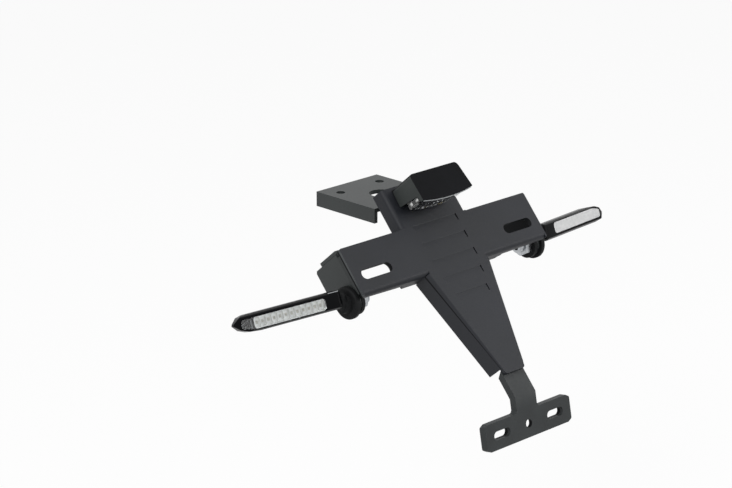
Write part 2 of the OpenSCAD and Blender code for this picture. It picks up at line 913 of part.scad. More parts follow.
module lamp_gasket() {
    color(black_rubber)
        on_plate()
            difference() {
                translate([-lamp_back_w / 2 + 0.6, lamp_front + lamp_rake + 0.6, 0])
                    cube([lamp_back_w - 1.2, lamp_len - lamp_rake - 1.2, gasket_t]);
                lamp_screw_places()
                    translate([0, 0, -over])
                        cylinder(d = lamp_screw_d + stud_gap, h = gasket_t + 2 * over);
            }
}

// Lens in front of the housing's raked front, in (y, z)
module lens_side() {
    lower = gasket_t + lens_low;
    upper = gasket_t + lens_high - slip;
    tip = lamp_front - hood_bulge;
    polygon([
        [rake_y(lens_low) - slip / 2, lower], [rake_y(lens_high) - slip / 2, upper],
        [tip, upper], [tip, lower + 2], [tip + 2, lower]
    ]);
}

module lamp_housing() {
    color(black_plastic)
        on_plate()
            difference() {
                intersection() {
                    across(lamp_w + 2 * over)
                        lamp_side(0);
                    lamp_block(0);
                }
                translate([0, lamp_wall, 0])
                    intersection() {
                        across(lamp_back_w - 2 * lamp_wall)
                            lamp_side(lamp_wall);
                        translate([0, 0, gasket_t + lamp_wall])
                            linear_extrude(lamp_h)
                                translate([-lamp_w / 2, lamp_front + lamp_rake - lamp_wall])
                                    square([lamp_w, lamp_len - lamp_rake - lamp_wall]);
                    }
                across(lamp_back_w - 2 * lamp_wall)
                    polygon([
                        [lamp_front, gasket_t + lens_low + 1], [lamp_front, gasket_t + lens_high - 1],
                        [lamp_back - 8, gasket_t + lens_high - 1], [lamp_back - 8, gasket_t + lens_low + 1]
                    ]);
                lamp_screw_places()
                    cylinder(d = lamp_screw_d - slip, h = lamp_screw_grip);
            }
}

module lamp_lens() {
    color(clear_plastic)
        on_plate()
            intersection() {
                across(lamp_w - 2)
                    lens_side();
                lamp_block(lens_inset);
            }
}

module lamp_board() {
    color(board_green)
        on_plate()
            translate([-lamp_back_w / 2 + lamp_wall + 1, lamp_front + lamp_rake + 3, gasket_t + lens_low + 1.2])
                cube([lamp_back_w - 2 * lamp_wall - 2, board_t, lens_high - lens_low - 2.4]);
}

module lamp_leds() {
    color(led_yellow)
        on_plate()
            for (i = [0:lamp_led_count - 1])
                translate([
                    (i - (lamp_led_count - 1) / 2) * led_pitch,
                    lamp_front + lamp_rake + 3 - 0.8,
                    gasket_t + (lens_low + lens_high) / 2
                ])
                    cube([3.5, 1.6, 3], center = true);
}

module lamp_screws() {
    color(zinc)
        on_plate()
            lamp_screw_places() {
                translate([0, 0, -sheet_t - washer_t])
                    cylinder(d = lamp_screw_d - 2 * slip, h = sheet_t + washer_t + lamp_screw_grip - 1);
                translate([0, 0, -sheet_t - washer_t - lamp_screw_head_h])
                    cylinder(d = lamp_screw_head_d, h = lamp_screw_head_h);
            }
}

module lamp_washers() {
    color(zinc)
        on_plate()
            lamp_screw_places()
                translate([0, 0, -sheet_t - washer_t])
                    difference() {
                        cylinder(d = washer_d - 0.6, h = washer_t);
                        translate([0, 0, -over])
                            cylinder(d = lamp_screw_d + stud_gap, h = washer_t + 2 * over);
                    }
}

// Stem axis of one side: children are drawn for the right, x pointing out of the vehicle
module on_stem(side) {
    fore = -stem_drop * sin(plate_tilt) + stem_back * cos(plate_tilt);
    up = -stem_drop * cos(plate_tilt) - stem_back * sin(plate_tilt);
    translate([0, fore - origin_fore, up - origin_up])
        mirror([side == "left" ? 1 : 0, 0, 0])
            children();
}

// Frame at the hub's elbow: x along the indicator's body
module on_elbow(side) {
    on_stem(side)
        translate([elbow_x, 0, 0])
            rotate([0, side == "left" ? droop_left : droop_right, side == "left" ? sweep_left : sweep_right])
                children();
}

// Frame of an indicator's body: x along the body from its root, -y towards the rear
module on_body(side) {
    on_elbow(side)
        translate([hub_tail, -body_shift, body_rise])
            rotate([-roll, 0, 0])
                mirror([0, 0, side == "right" ? 1 : 0])
                    children();
}

module rod(d1, d2, from_x, to_x) {
    translate([from_x, 0, 0])
        rotate([0, 90, 0])
            cylinder(d1 = d1, d2 = d2, h = to_x - from_x);
}

module stem_bore(from_x, to_x) {
    rod(stem_d + 2 * slip, stem_d + 2 * slip, from_x, to_x);
}

module disc(side) {
    color(black_rubber)
        on_stem(side)
            difference() {
                union() {
                    rod(disc_d, disc_d, panel_x, panel_x + disc_t - 1);
                    rod(disc_d, disc_d - 2, panel_x + disc_t - 1, panel_x + disc_t);
                }
                stem_bore(panel_x - over, panel_x + disc_t + over);
            }
}

// Rubber hub: a cone on the stem, then a neck that rises to the middle of the body's root
module hub(side) {
    run = hub_tail + hub_len / 2;
    rise_angle = atan(body_rise / norm([run, body_shift]));
    color(black_rubber)
        difference() {
            union() {
                on_stem(side)
                    rod(hub_d, hub_end_d, panel_x + disc_t, elbow_x);
                on_elbow(side)
                    intersection() {
                        translate([-hub_len / 2, 0, 0])
                            rotate([0, -rise_angle, -atan(body_shift / run)])
                                rod(hub_neck_d, hub_neck_d, 0, 2 * run);
                        translate([hub_tail - 2 * hub_d, -hub_d, -hub_d])
                            cube(2 * hub_d);
                    }
            }
            on_stem(side)
                stem_bore(panel_x, elbow_x - hub_len / 2);
        }
}

module stem(side) {
    inner_end = panel_x - bracket_t - stem_washer_t - stem_nut_h - stem_proud;
    color(zinc)
        on_stem(side)
            difference() {
                rod(stem_d, stem_d, inner_end, elbow_x - hub_len / 2 - 1);
                rod(cable_bore_d, cable_bore_d, inner_end - over, elbow_x - hub_len / 2 - 2 * join);
            }
}

module stem_washer(side) {
    outer = panel_x - bracket_t;
    color(black_rubber)
        on_stem(side)
            difference() {
                rod(stem_washer_d, stem_washer_d, outer - stem_washer_t, outer);
                stem_bore(outer - stem_washer_t - over, outer + over);
            }
}

module stem_nut(side) {
    outer = panel_x - bracket_t - stem_washer_t;
    corner_r = stem_nut_af / 2 / cos(30);
    color(zinc)
        on_stem(side)
            difference() {
                intersection() {
                    translate([outer - stem_nut_h, 0, 0])
                        rotate([0, 90, 0])
                            linear_extrude(stem_nut_h)
                                hexagon(stem_nut_af);
                    rod(2 * corner_r - 1.6, 2 * corner_r + 2 * stem_nut_h, outer - stem_nut_h, outer + 1);
                }
                stem_bore(outer - stem_nut_h - over, outer + over);
            }
}

// Body outline seen from the rear, in (x, z): a bar whose lower edge rises to a pointed tip
module body_rear_view(inset) {
    h = body_h / 2 - inset;
    tip = body_len - 1.4 * inset;
    polygon([
        [inset, -h + 1.5], [inset + 2, -h], [tip - 1.8 * tip_len, -h], [tip - tip_len, -0.86 * h],
        [tip - 0.4 * tip_len, -0.5 * h], [tip, 0.1 * h], [tip - 0.05 * tip_len, 0.3 * h],
        [tip - 0.45 * tip_len, 0.84 * h], [tip - tip_len, h], [inset + 2, h], [inset, h - 1.5]
    ]);
}

// Body outline seen from above, in (x, y)
module body_top_view() {
    polygon([
        [0, body_front * 0.7], [3, body_front], [body_len - tip_len * 1.3, body_front],
        [body_len, -body_front * 0.1], [body_len, body_back * 0.7], [body_len - tip_len * 0.45, body_back],
        [3, body_back], [0, body_back * 0.7]
    ]);
}

// Cross-section of the body, in (y, z): the lens face is the short one at -y
module body_section() {
    polygon([
        [body_back, -front_h / 2], [body_back + 2.2, -body_h / 2], [body_front - 2, -body_h / 2],
        [body_front, -body_h / 2 + 3], [body_front, body_h / 2 - 3], [body_front - 2, body_h / 2],
        [body_back + 2.2, body_h / 2], [body_back, front_h / 2]
    ]);
}

// Outline of the lens or of what lies under it, in (x, z), with a margin inside the window
module window_outline(to_x, margin) {
    from_x = window_start + margin;
    length = to_x - margin - from_x;
    intersection() {
        translate([from_x + length / 2, 0])
            rounded_rect(length, window_h - 2 * margin, 2.2 - margin);
        translate([0, window_drop])
            body_rear_view(1.3 + margin);
    }
}

// Extrudes an (x, z) outline in the body from one depth to another behind the lens face
module sunk(from_depth, to_depth) {
    translate([0, body_back + to_depth, -window_drop])
        rotate([90, 0, 0])
            linear_extrude(to_depth - from_depth)
                children();
}

module housing(side) {
    pocket = lens_t + reflector_t + board_t;
    color(black_plastic)
        on_body(side)
            difference() {
                intersection() {
                    translate([0, body_d, 0])
                        rotate([90, 0, 0])
                            linear_extrude(2 * body_d)
                                body_rear_view(0);
                    translate([0, 0, -body_h])
                        linear_extrude(2 * body_h)
                            body_top_view();
                    rotate([90, 0, 90])
                        linear_extrude(body_len)
                            body_section();
                }
                sunk(-over, lens_t)
                    window_outline(window_end, 0);
                sunk(-over, pocket)
                    window_outline(strip_end, 0);
                for (i = [0:rib_count - 1])
                    sunk(0, lens_t + 1)
                        translate([strip_end + (i + 0.6) * rib_pitch, -window_h * (0.36 - 0.05 * i)])
                            square([rib_pitch - cell_wall, window_h * (0.72 - 0.07 * i)]);
            }
}

module lens(side) {
    color(clear_plastic, 0.5)
        on_body(side)
            sunk(0, lens_t)
                window_outline(window_end, slip / 2);
}

module reflector(side) {
    color(silver)
        on_body(side)
            difference() {
                sunk(lens_t, lens_t + reflector_t)
                    window_outline(strip_end, slip / 2);
                for (i = [0:cell_count - 1])
                    sunk(lens_t - over, lens_t + reflector_t - 0.8)
                        translate([window_start + cell_wall + (i + 0.5) * cell_pitch, 0])
                            rounded_rect(cell_pitch - cell_wall, window_h - 2 * cell_wall - 2 * slip, 1);
            }
}

module board(side) {
    color(board_green)
        on_body(side)
            translate([window_start + 1.6, body_back + lens_t + reflector_t, -window_drop - window_h / 2 + 1.2])
                cube([strip_end - window_start - 3.2, board_t - slip, window_h - 2.4]);
}

carrier_plate();
indicator_bracket();
mounting_bracket();
lower_bracket();
carrier_studs();
carrier_washers();
carrier_nuts();
neck_studs();
neck_washers();
neck_nuts();
lamp_gasket();
lamp_housing();
lamp_lens();
lamp_board();
lamp_leds();
lamp_screws();
lamp_washers();
disc("left");  // left_disc
hub("left");  // left_hub
stem("left");  // left_stem
stem_washer("left");  // left_stem_washer
stem_nut("left");  // left_stem_nut
housing("left");  // left_housing
reflector("left");  // left_reflector
board("left");  // left_board
lens("left");  // left_lens
disc("right");  // right_disc
hub("right");  // right_hub
stem("right");  // right_stem
stem_washer("right");  // right_stem_washer
stem_nut("right");  // right_stem_nut
housing("right");  // right_housing
reflector("right");  // right_reflector
board("right");  // right_board
lens("right");  // right_lens
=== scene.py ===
import json
from math import pi, radians

import bpy
from mathutils import Matrix, Vector


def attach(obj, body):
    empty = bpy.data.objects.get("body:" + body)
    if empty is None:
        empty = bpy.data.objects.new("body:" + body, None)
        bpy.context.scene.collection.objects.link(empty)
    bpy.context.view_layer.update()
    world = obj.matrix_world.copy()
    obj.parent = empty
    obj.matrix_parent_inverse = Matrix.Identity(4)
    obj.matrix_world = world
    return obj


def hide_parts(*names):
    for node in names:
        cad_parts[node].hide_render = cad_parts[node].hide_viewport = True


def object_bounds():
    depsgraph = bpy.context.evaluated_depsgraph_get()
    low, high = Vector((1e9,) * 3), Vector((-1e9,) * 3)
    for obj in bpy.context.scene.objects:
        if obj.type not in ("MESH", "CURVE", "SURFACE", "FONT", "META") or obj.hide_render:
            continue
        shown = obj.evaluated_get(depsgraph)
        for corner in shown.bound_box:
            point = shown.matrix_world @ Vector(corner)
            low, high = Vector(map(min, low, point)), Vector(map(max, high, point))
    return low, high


bl_info = {
    "name": "Tail Tidy",
    "version": (1, 0, 0),
    "blender": (4, 5, 0),
    "location": "View3D > Sidebar > Tail Tidy",
    "description": "Finishes a folded licence-plate carrier with its lamp and indicators",
    "category": "Object",
}

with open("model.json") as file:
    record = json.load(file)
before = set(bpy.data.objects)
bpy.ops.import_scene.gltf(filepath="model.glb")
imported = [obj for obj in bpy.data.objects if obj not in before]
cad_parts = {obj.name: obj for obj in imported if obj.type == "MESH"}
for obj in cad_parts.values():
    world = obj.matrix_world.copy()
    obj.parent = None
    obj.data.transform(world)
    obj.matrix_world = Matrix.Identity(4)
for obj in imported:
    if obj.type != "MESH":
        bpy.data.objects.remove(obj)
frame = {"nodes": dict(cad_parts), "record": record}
NODES = frame["nodes"]
CAD_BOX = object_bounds()
SLOT_OF = {row["node"]: row["material_slot"] for row in frame["record"]["subparts"]}
MM = 0.001
HERE = Matrix.Identity(4)
FLIP_X = Matrix.Scale(-1, 4, (1, 0, 0))
FLIP_Y = Matrix.Scale(-1, 4, (0, 1, 0))
FLIP_Z = Matrix.Scale(-1, 4, (0, 0, 1))


def shift(x, y, z):
    """A move by millimetres."""
    return Matrix.Translation((x * MM, y * MM, z * MM))


def turn(degrees, axis):
    """A turn about an axis."""
    return Matrix.Rotation(radians(degrees), 4, axis)


# Sizes below are in millimetres and angles in degrees, as in the part's source

# Frame of the carrier's face: x to the right, y up the leaning face, z out of it
FACE_LEAN = 41
PLATE = shift(0, -65.673, -22.606) @ turn(90 - FACE_LEAN, "X")
SHEET = 3
CROSSBAR_HALF = 95
LONG_SLOT_X = 72.7
# The sheet's left end has a painted highlight in front and painted shade behind, which meet at
# this depth
END_SPLIT_Z = -1.7

# Edges sharper than the first angle are rounded, and those under the second are shaded smooth
ROUNDED_FROM = 35
SMOOTH_TO = 40

# The pressed steps: half width and height on the face, and depth in the source. The deepest line
# comes up by the rise, by more at the left (-1) than at the right (1)
STEPS = ((22.3, 16.4), (22.3, 2.2), (22.3, -12.0), (19.658, -26.2), (15.979, -40.4))
STEP_DEPTH = 0.9
STEP_RISE = {-1: 0.58, 1: 0.5}

# The folds along the lower column: x runs down the edge, y in towards the column. Their radius
# shrinks to a share of itself at the lower end
FOLD_R = 3.6
FOLD_LENGTH = 83.880
FOLD_SHARE = 0.35
RIGHT_FOLD = shift(32.7, -18.8, 0) @ turn(-104.5229, "Z") @ FLIP_Y
FOLDS = (RIGHT_FOLD, FLIP_X @ RIGHT_FOLD)

# Frame of the tee's face, beyond the bend of the neck
NECK_BEND = 30
TEE = PLATE @ shift(0, -122.3, -SHEET) @ turn(NECK_BEND, "X") @ shift(0, -21.4, 0)
TEE_SLOT_X = 27.8
TEE_SLOT = (16.5, 6.2)
TEE_HOLE_R = 3.7

# Threads: outer radius and pitch. A root is cut to a share of the pitch
STUD_THREAD = (2.5, 0.8)
STEM_THREAD = (4, 1.0)
THREAD_DEPTH = 0.55

# The lamp hood's curved front edge
HOOD_R = 134.55
HOOD_FRONT = (0, 25.2, 24.2)
HOOD_HALF_ANGLE = 10.4

# Frames of each indicator: x runs out along the stem, then along the swept and drooping body. The
# right body is the left one turned over
SIDES = ("left", "right")
SWEEP = {"left": 13.5, "right": 10}
DROOP = {"left": 3.5, "right": 3}
TURNED_OVER = {"left": HERE, "right": FLIP_Z}
STEM_START = shift(0, -62.448, -45.418)
STEM = {"left": STEM_START @ FLIP_X, "right": STEM_START}
BODY = {
    side: STEM[side] @ shift(102.4, 0, 0) @ turn(SWEEP[side], "Z") @ turn(DROOP[side], "Y")
    @ shift(1.5, -0.8, 5.2) @ turn(-20, "X") @ TURNED_OVER[side]
    for side in SIDES
}
# Height of the reflector's and the tip's middle line, and the spacing of the cells along them
MIDDLE_Z = -0.6
CELL_PITCH = 4.55
TIP_PITCH = 2.22

# The stage, in metres and watts: each light's place, width and power
LIGHTS = {
    "Left light": ((-1.5, -0.4, 1.3), 0.8, 16.0),
    "Right light": ((1.2, -1.2, 0.7), 0.8, 9.0),
    "Top light": ((0.1, 0.2, 1.6), 1.2, 6.0),
}
LIT_POINT = Vector((0, -0.08, -0.04))
FLOOR_DROP = 0.16
CAMERA_PLACE = (-1.2722, -1.26877, 0.5516)
CAMERA_AIM = Vector((0.6684, 0.6750, -0.3123))
CAMERA_LENS = 126.9


# Colours and nodes

def linear(colour):
    """Turns sRGB hex into the linear RGBA of the shaders; a user's colour is linear already."""
    if not isinstance(colour, str):
        return [*colour, 1.0]
    channels = [int(colour[i:i + 2], 16) / 255 for i in (1, 3, 5)]
    return [c / 12.92 if c <= 0.04045 else ((c + 0.055) / 1.055) ** 2.4 for c in channels] + [1.0]


def add(tree, kind, props=None, values=None, links=None):
    """Adds a node, sets its properties and input values, and links its inputs."""
    node = tree.nodes.new(kind)
    for key, value in (props or {}).items():
        setattr(node, key, value)
    for key, value in (values or {}).items():
        node.inputs[key].default_value = value
    for key, source in (links or {}).items():
        tree.links.new(source, node.inputs[key])
    return node


def new_material(name):
    material = bpy.data.materials.new(name)
    material.use_nodes = True
    material.node_tree.nodes.clear()
    return material, material.node_tree


def surface(name, tones, roughness, patterns, relief, values, fleck=0.0):
    """Builds a material whose colour, roughness and relief follow noise of a real size.

    tones is one colour, or a darker and a lighter one. patterns gives a width in millimetres and
    a detail for the noise that shades the tones, for the skin's, which breaks up the gloss, and
    for the relief's where it isn't the skin's. relief is the height of the bumps in millimetres
    and their strength. fleck is the share of the skin's noise in the colour.
    """
    material, tree = new_material(name)
    points = add(tree, "ShaderNodeTexCoord").outputs["Object"]
    noise = {
        use: add(
            tree, "ShaderNodeTexNoise", {},
            {"Scale": 1 / (width * MM), "Detail": detail, "Roughness": 0.55}, {"Vector": points},
        ).outputs["Fac"]
        for use, (width, detail) in patterns.items()
    }
    lowest, highest = roughness
    height, strength = relief
    links = {
        "Roughness": add(
            tree, "ShaderNodeMapRange", {},
            {"From Min": 0.25, "From Max": 0.75, "To Min": lowest, "To Max": highest},
            {"Value": noise["skin"]},
        ).outputs["Result"],
        "Normal": add(
            tree, "ShaderNodeBump", {}, {"Distance": height * MM, "Strength": strength},
            {"Height": noise.get("relief", noise["skin"])},
        ).outputs["Normal"],
    }
    if len(tones) == 1:
        values = {**values, "Base Color": linear(tones[0])}
    else:
        shade = noise.get("tone", noise["skin"])
        if fleck:
            shade = add(
                tree, "ShaderNodeMix", {"data_type": "FLOAT"}, {"Factor": fleck},
                {"A": shade, "B": noise["skin"]},
            ).outputs["Result"]
        ramp = add(tree, "ShaderNodeValToRGB", links={"Fac": shade})
        for end, position, tone in zip(ramp.color_ramp.elements, (0.3, 0.7), tones):
            end.position = position
            end.color = linear(tone)
        links["Base Color"] = ramp.outputs["Color"]
    shader = add(tree, "ShaderNodeBsdfPrincipled", {}, values, links)
    add(tree, "ShaderNodeOutputMaterial", links={"Surface": shader.outputs[0]})
    return material


def powder_coat(name, tones, roughness, shine):
    """Polyester powder coat, sprayed on steel and baked: a soft sheen over a faint orange peel."""
    # Real peel is about 0.4 mm wide; drawn at 1.3 mm so that it shows at this distance
    return surface(
        name, tones, roughness, {"tone": (45, 2), "skin": (0.9, 1), "relief": (1.3, 3)},
        (0.05, 0.35), {"IOR": 1.5, "Specular IOR Level": shine}, fleck=0.35)


def moulded(name, tones, roughness, grain, shine):
    """Injection-moulded plastic: an even skin with the mould's grain, or smooth where polished."""
    # Spark-eroded grain is about 0.2 mm wide; drawn at 1.1 mm and more so that it shows
    width, height = grain
    return surface(
        name, tones, roughness, {"tone": (18, 2), "skin": (width, 2)},
        (height, 0.5), {"IOR": 1.5, "Specular IOR Level": shine})


def clear_lens(name, tones, clear):
    """Moulded polycarbonate: clear and hard, with a faint draw from the mould in its surface."""
    # Where there are two tones, uneven bright spots about 2 mm wide are painted light, as prisms
    # break the light
    return surface(
        name, tones, (0.03, 0.08), {"tone": (2, 1), "skin": (5, 1)},
        (0.004, 0.15), {"IOR": 1.585, "Transmission Weight": clear})


def bright_metal(name, tones, roughness, width, metallic):
    """A thin skin of metal, vapour-deposited or plated: bright, with a slight mottle."""
    # The real crystals are far too fine to see; the mottle is drawn at 1.5 mm and more
    return surface(
        name, tones, roughness, {"skin": (width, 3)}, (0.02, 0.3), {"Metallic": metallic})


def coated_board(name, tones):
    """Printed ink or cast phosphor: flat and slightly glossy."""
    # Unevenness in such a coat is finer than 1.6 mm; drawn so that it shows
    return surface(name, tones, (0.35, 0.5), {"skin": (1.6, 2)}, (0.02, 0.3), {"IOR": 1.5})


MATERIALS = {}


def make_materials():
    chosen = settings()
    MATERIALS.update({
        # The folded sheet's faces: nearly black, with a soft sheen
        "carrier_steel": powder_coat(
            "Black powder-coated steel", (chosen.coat_dark, chosen.coat_light), (0.46, 0.6), 0.28),
        # The brackets behind it: a greyer coat that catches more light
        "bracket_steel": powder_coat(
            "Satin powder-coated steel", ("#242828", "#2D3131"), (0.4, 0.52), 0.4),
        # Painted shade, dark and dull: the channel's inside, the long slots' walls, the rear half
        # of the sheet's left end and thin lines along the folds
        "painted_shade": powder_coat(
            "Painted shade inside the channel", ("#101112", "#16181A"), (0.55, 0.7), 0.1),
        # Painted highlight on the front half of the sheet's cut left end: paler and shinier than
        # the face
        "painted_edge_highlight": powder_coat(
            "Powder coat with painted edge highlight", ("#383C3E", "#444849"), (0.4, 0.5), 0.42),
        # The steps' walls: painted light, a shade paler than the face, which draws their top lines
        "painted_pale_walls": powder_coat(
            "Powder coat painted pale", ("#1D2023", "#25282C"), (0.5, 0.6), 0.28),
        # The tee: grey-black with an even grain
        "moulded_black": moulded(
            "Glass-filled nylon", (chosen.tee_dark, chosen.tee_light), (0.5, 0.62), (1.1, 0.05),
            0.35),
        # The lamp's top and back: deep black that hardly shines. It is also painted shade on the
        # tee's hole wall and slot collars
        "lamp_black": moulded(
            "Black lamp moulding and painted shade", ("#0A0B0D", "#0F1013"), (0.42, 0.55), (1.2, 0.04), 0.06),
        # The lamp's sides: a greyer copy of the black, painted sheen for the light they catch
        "painted_flank_sheen": moulded(
            "Lamp flank with painted sheen", ("#2C302F", "#353938"), (0.5, 0.62), (1.2, 0.05), 0.3),
        # The indicators' housings: smooth and black, with sharp small reflections
        "gloss_black": moulded(
            "Polished black ABS", ("#0A0A0C", "#0E0F10"), (0.18, 0.28), (4, 0.01), 0.05),
        # The flutes in the lamp's lens, which catch the light as thin lines
        "gloss_lip": moulded(
            "Polished lip", ("#2A2C2E", "#34363A"), (0.16, 0.24), (4, 0.005), 0.9),
        # Painted highlights on the clear parts: pale bars and a bead for their bright seams, where
        # the edge gathers the light
        "painted_glint": moulded(
            "Painted glint on the lens edges", ("#8F9294", "#A2A5A7"), (0.3, 0.42), (4, 0.005), 0.5),
        # Moulded EPDM rubber: matt and slightly dusty. Its fine skin is drawn at 0.8 mm to show
        "black_rubber": surface(
            "EPDM rubber", ("#0E0F10", "#161718"), (0.6, 0.75), {"tone": (6, 3), "skin": (0.8, 3)},
            (0.03, 0.4), {"IOR": 1.5, "Specular IOR Level": 0.15}),
        # The lamp's and the left indicator's lenses: clear
        "clear_lens": clear_lens("Clear polycarbonate", (chosen.lens_tint,), 1.0),
        # The right lens: the same clear polycarbonate painted milky, a lit copy of the left one's
        "painted_bright_lens": clear_lens(
            "Clear polycarbonate painted milky", ("#F1F2F3", "#FFFFFF"), 0.42),
        # Vapour-deposited aluminium on a moulding: a soft mirror
        "silver_reflector": bright_metal(
            "Metallised reflector", ("#E6E6E2", "#F4F4F0"), (0.28, 0.4), 6, 0.8),
        # The same aluminium, painted evenly pale as a lit copy for the right indicator
        "painted_bright_reflector": bright_metal(
            "Metallised reflector painted paler", ("#F0F0EC", "#FBFBF8"), (0.35, 0.5), 6,
            0.3),
        # Zinc plate on steel nuts, washers and studs: pale and crystalline
        "zinc": bright_metal("Bright zinc plate", ("#9DA0A3", "#C6C9CC"), (0.25, 0.42), 1.5, 1.0),
        # Solder mask on the circuit boards: off-white
        "circuit_board": coated_board("White solder mask", ("#DEDCD4", "#F0EEE8")),
        # Phosphor over unlit diodes: pale in the indicators, yellow in the lamp
        "pale_package": coated_board("Pale phosphor", ("#C9C6B8", "#D8D5C8")),
        "led_package": coated_board("Yellow phosphor", ("#D8B93C", "#EAD264")),
    })


# Tools for the pieces

def dress(names, material):
    """Gives CAD nodes a better material in their own slots."""
    for name in names:
        obj = NODES[name]
        if not obj.material_slots:
            obj.data.materials.append(MATERIALS[material])
        for slot in obj.material_slots:
            slot.material = MATERIALS[material]


def select_only(obj):
    bpy.ops.object.select_all(action="DESELECT")
    obj.select_set(True)
    bpy.context.view_layer.objects.active = obj


def select_points(obj, home, test):
    """Enters edit mode with the points whose place in a frame, in millimetres, passes a test."""
    select_only(obj)
    bpy.ops.object.mode_set(mode="EDIT")
    bpy.ops.mesh.select_mode(type="VERT")
    bpy.ops.mesh.select_all(action="DESELECT")
    bpy.ops.object.mode_set(mode="OBJECT")
    to_home = home.inverted()
    count = 0
    for vertex in obj.data.vertices:
        vertex.select = test((to_home @ vertex.co) / MM)
        count += vertex.select
    if not count:
        raise RuntimeError(f"{obj.name} has none of the points that are to be shaped")
    bpy.ops.object.mode_set(mode="EDIT")


def paint(obj, home, material, test):
    """Gives another material to the faces whose centre and normal in a frame pass a test."""
    obj.data.materials.append(MATERIALS[material])
    index = len(obj.data.materials) - 1
    to_home = home.inverted()
    for face in obj.data.polygons:
        if test((to_home @ face.center) / MM, to_home.to_3x3() @ face.normal):
            face.material_index = index


def place(obj, home):
    """Moves a piece from the origin into its frame, and turns its faces outwards."""
    obj.matrix_world = home
    select_only(obj)
    bpy.ops.object.transform_apply(location=True, rotation=True, scale=True)
    bpy.ops.object.mode_set(mode="EDIT")
    bpy.ops.mesh.select_all(action="SELECT")
    bpy.ops.mesh.normals_make_consistent(inside=False)
    bpy.ops.object.mode_set(mode="OBJECT")


def copies(obj, homes):
    """Copies a piece, each copy with its own mesh, and places one in each frame."""
    pieces = [obj]
    for _ in homes[1:]:
        twin = obj.copy()
        twin.data = obj.data.copy()
        bpy.context.scene.collection.objects.link(twin)
        pieces.append(twin)
    for piece, home in zip(pieces, homes):
        place(piece, home)
    return pieces


def joined(pieces):
    """Makes one piece of several."""
    select_only(pieces[0])
    for piece in pieces[1:]:
        piece.select_set(True)
    bpy.ops.object.join()
    return pieces[0]


def finish_piece(obj, name, material, slot, smooth=SMOOTH_TO):
    """Names, shades and colours a new piece, and says what it rides on."""
    obj.name = name
    obj.data.name = name
    obj.data.materials.clear()
    obj.data.materials.append(MATERIALS[material])
    select_only(obj)
    bpy.ops.object.shade_smooth_by_angle(angle=radians(smooth))
    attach(obj, "root")


def copy_of(node, name):
    """A free copy of a CAD node's mesh, merged into clean faces."""
    source = NODES[node]
    obj = source.copy()
    obj.data = source.data.copy()
    obj.name = name
    obj.data.name = name
    for key in list(obj.keys()):
        del obj[key]
    bpy.context.scene.collection.objects.link(obj)
    obj.parent = None
    obj.matrix_world = HERE
    select_only(obj)
    if obj.data.has_custom_normals:
        bpy.ops.mesh.customdata_custom_splitnormals_clear()
    bpy.ops.object.mode_set(mode="EDIT")
    bpy.ops.mesh.select_all(action="SELECT")
    bpy.ops.mesh.remove_doubles(threshold=0.004 * MM)
    bpy.ops.mesh.dissolve_limited(angle_limit=radians(0.5))
    bpy.ops.mesh.select_all(action="DESELECT")
    bpy.ops.object.mode_set(mode="OBJECT")
    return obj


def softened(node, name, radius, material, segments=2, before=None):
    """A copy of a CAD node whose hard edges are rounded; it stands for the node."""
    obj = copy_of(node, name)
    if before:
        before(obj)
    bevel = obj.modifiers.new("Edge radius", "BEVEL")
    bevel.width = radius * MM
    bevel.segments = segments
    bevel.limit_method = "ANGLE"
    bevel.angle_limit = radians(ROUNDED_FROM)
    bevel.use_clamp_overlap = True
    bevel.harden_normals = False
    bpy.ops.object.modifier_apply(modifier=bevel.name)
    bpy.ops.object.shade_smooth_by_angle(angle=radians(SMOOTH_TO))
    even = obj.modifiers.new("Flat faces stay flat", "WEIGHTED_NORMAL")
    even.mode = "FACE_AREA"
    even.weight = 90
    even.keep_sharp = True
    bpy.ops.object.modifier_apply(modifier=even.name)
    for slot in obj.material_slots:
        slot.material = MATERIALS[material]
    if not obj.material_slots:
        obj.data.materials.append(MATERIALS[material])
    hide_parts(node)
    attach(obj, "root")
    return obj


def threaded(node, name, home, centres, thread, low, high):
    """A copy of studs or a stem with the thread drawn as ridges; it stands for the node.

    The axes run along the frame's z through the centres, and the thread from low to high.
    """
    radius, pitch = thread
    rings = int((high - low) / (pitch / 2))
    obj = copy_of(node, name)
    obj.matrix_world = home.inverted()
    bpy.ops.object.transform_apply(location=True, rotation=True, scale=True)
    bpy.ops.object.mode_set(mode="EDIT")
    for i in range(1, rings):
        bpy.ops.mesh.select_all(action="SELECT")
        bpy.ops.mesh.bisect(
            plane_co=(0, 0, (low + i * pitch / 2) * MM), plane_no=(0, 0, 1), threshold=1e-6)
    bpy.ops.object.mode_set(mode="OBJECT")

    for x, y in centres:
        def in_root(point):
            """Every other ring of the outer skin is a root of the thread."""
            ring = (point.z - low) / (pitch / 2)
            out = ((point.x - x) ** 2 + (point.y - y) ** 2) ** 0.5
            on_ring = 0.5 < ring < rings - 0.5 and abs(ring - round(ring)) < 0.05
            return on_ring and round(ring) % 2 == 1 and abs(out - radius) < 0.12

        select_points(obj, HERE, in_root)
        share = 1 - THREAD_DEPTH * pitch / radius
        bpy.ops.transform.resize(
            value=(share, share, 1), center_override=(x * MM, y * MM, 0))
        bpy.ops.object.mode_set(mode="OBJECT")
    place(obj, home)
    finish_piece(obj, name, "zinc", SLOT_OF[node], 25)
    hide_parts(node)


